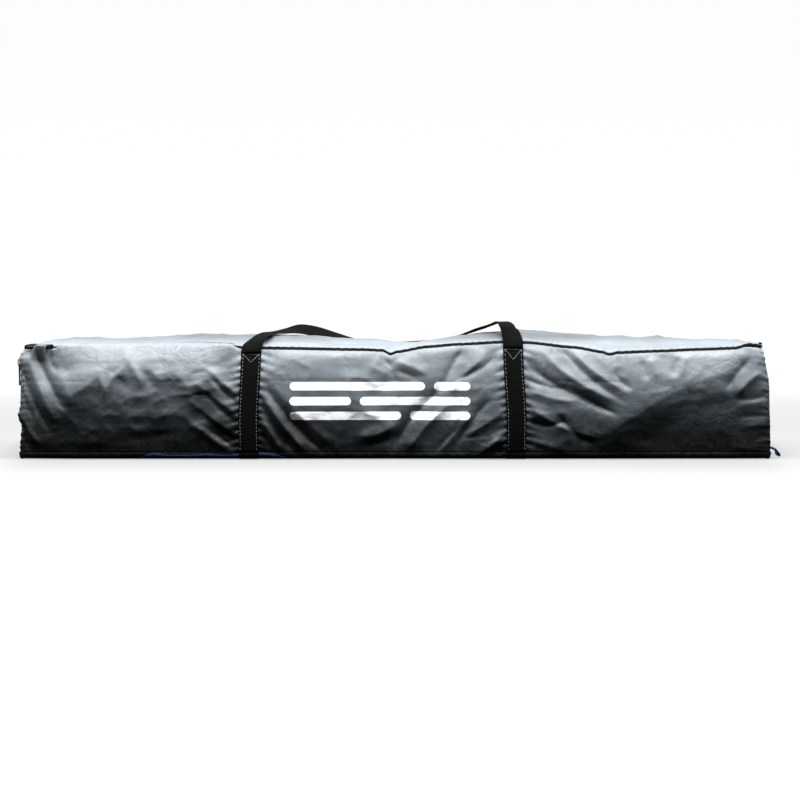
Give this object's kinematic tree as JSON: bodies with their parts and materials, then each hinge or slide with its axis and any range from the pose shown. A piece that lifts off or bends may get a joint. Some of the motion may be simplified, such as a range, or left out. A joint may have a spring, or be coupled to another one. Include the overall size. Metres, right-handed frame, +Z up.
{
  "type": "zipped carry bag",
  "caption": "Long soft carry bag with a zipped drop-down front, webbing straps and two carrying handles, filled with poles, a rolled sheet and a pouch.",
  "frame": {"origin": "on the ground under the middle of the bag's base", "axes": "+X along the bag, -Y out of the zipped front, +Z up"},
  "size_m": [1.2331, 0.2169, 0.2056],
  "materials": {
    "cloth": "coated sheen",
    "webbing": "woven",
    "binding": "woven",
    "zip_tape": "woven",
    "zip_coil": "satin",
    "slider_metal": "satin",
    "navy_cord": "braided",
    "pole_metal": "powder coat",
    "cap_plastic": "matte",
    "navy_cloth": "coated cloth"
  },
  "bodies": {
    "bag": {"bottom_panel": "cloth", "back_panel": "cloth", "top_panel": "cloth", "left_end_panel": "cloth", "right_end_panel": "cloth", "left_end_binding": "binding", "right_end_binding": "binding", "rear_zip_tape": "zip_tape", "rear_zip_coil": "zip_coil", "zip_stops": "slider_metal", "bottom_straps": "webbing", "rear_left_strap": "webbing", "rear_right_strap": "webbing", "cord_anchor": "webbing", "corner_cord": "navy_cord", "cord_knot": "navy_cord", "pole_1": "pole_metal", "pole_2": "pole_metal", "pole_3": "pole_metal", "pole_4": "pole_metal", "pole_5": "pole_metal", "pole_6": "pole_metal", "pole_end_caps": "cap_plastic", "rolled_sheet": "navy_cloth", "sheet_tie_left": "binding", "sheet_tie_right": "binding", "peg_pouch": "navy_cloth"},
    "front": {"front_panel": "cloth", "front_hem": "binding", "front_zip_tape": "zip_tape", "front_zip_coil": "zip_coil", "front_left_strap": "webbing", "front_right_strap": "webbing"},
    "front_loop": {"front_handle": "webbing"},
    "rear_loop": {"rear_handle": "webbing"},
    "long_zip_slider": {"top_slider": "slider_metal"},
    "long_zip_tab": {"top_slider_tab": "slider_metal"},
    "end_zip_slider": {"end_slider": "slider_metal"},
    "end_zip_tab": {"end_slider_tab": "slider_metal"}
  },
  "joints": [
    {"name": "front_fold", "type": "hinge", "parent": "bag", "child": "front", "pos_m": [0, -0.1, 0.011], "axis": [1, 0, 0], "range_deg": [0, 82]},
    {"name": "front_handle_swing", "type": "hinge", "parent": "front", "child": "front_loop", "pos_m": [-0.02, -0.1046, 0.168], "axis": [1, 0, 0], "range_deg": [0, 150]},
    {"name": "rear_handle_swing", "type": "hinge", "parent": "bag", "child": "rear_loop", "pos_m": [-0.02, 0.1046, 0.168], "axis": [1, 0, 0], "range_deg": [0, 170]},
    {"name": "long_zip_slide", "type": "slide", "parent": "bag", "child": "long_zip_slider", "axis": [1, 0, 0], "range_m": [0, 1.13]},
    {"name": "long_zip_tab_swing", "type": "hinge", "parent": "long_zip_slider", "child": "long_zip_tab", "pos_m": [-0.578, -0.10355, 0.18], "axis": [0, 0, -1], "range_deg": [0, 160]},
    {"name": "end_zip_slide", "type": "slide", "parent": "bag", "child": "end_zip_slider", "axis": [0, 0, -1], "range_m": [0, 0.09]},
    {"name": "end_zip_tab_swing", "type": "hinge", "parent": "end_zip_slider", "child": "end_zip_tab", "pos_m": [-0.60355, -0.082, 0.15], "axis": [0, 1, 0], "range_deg": [0, 160]}
  ]
}
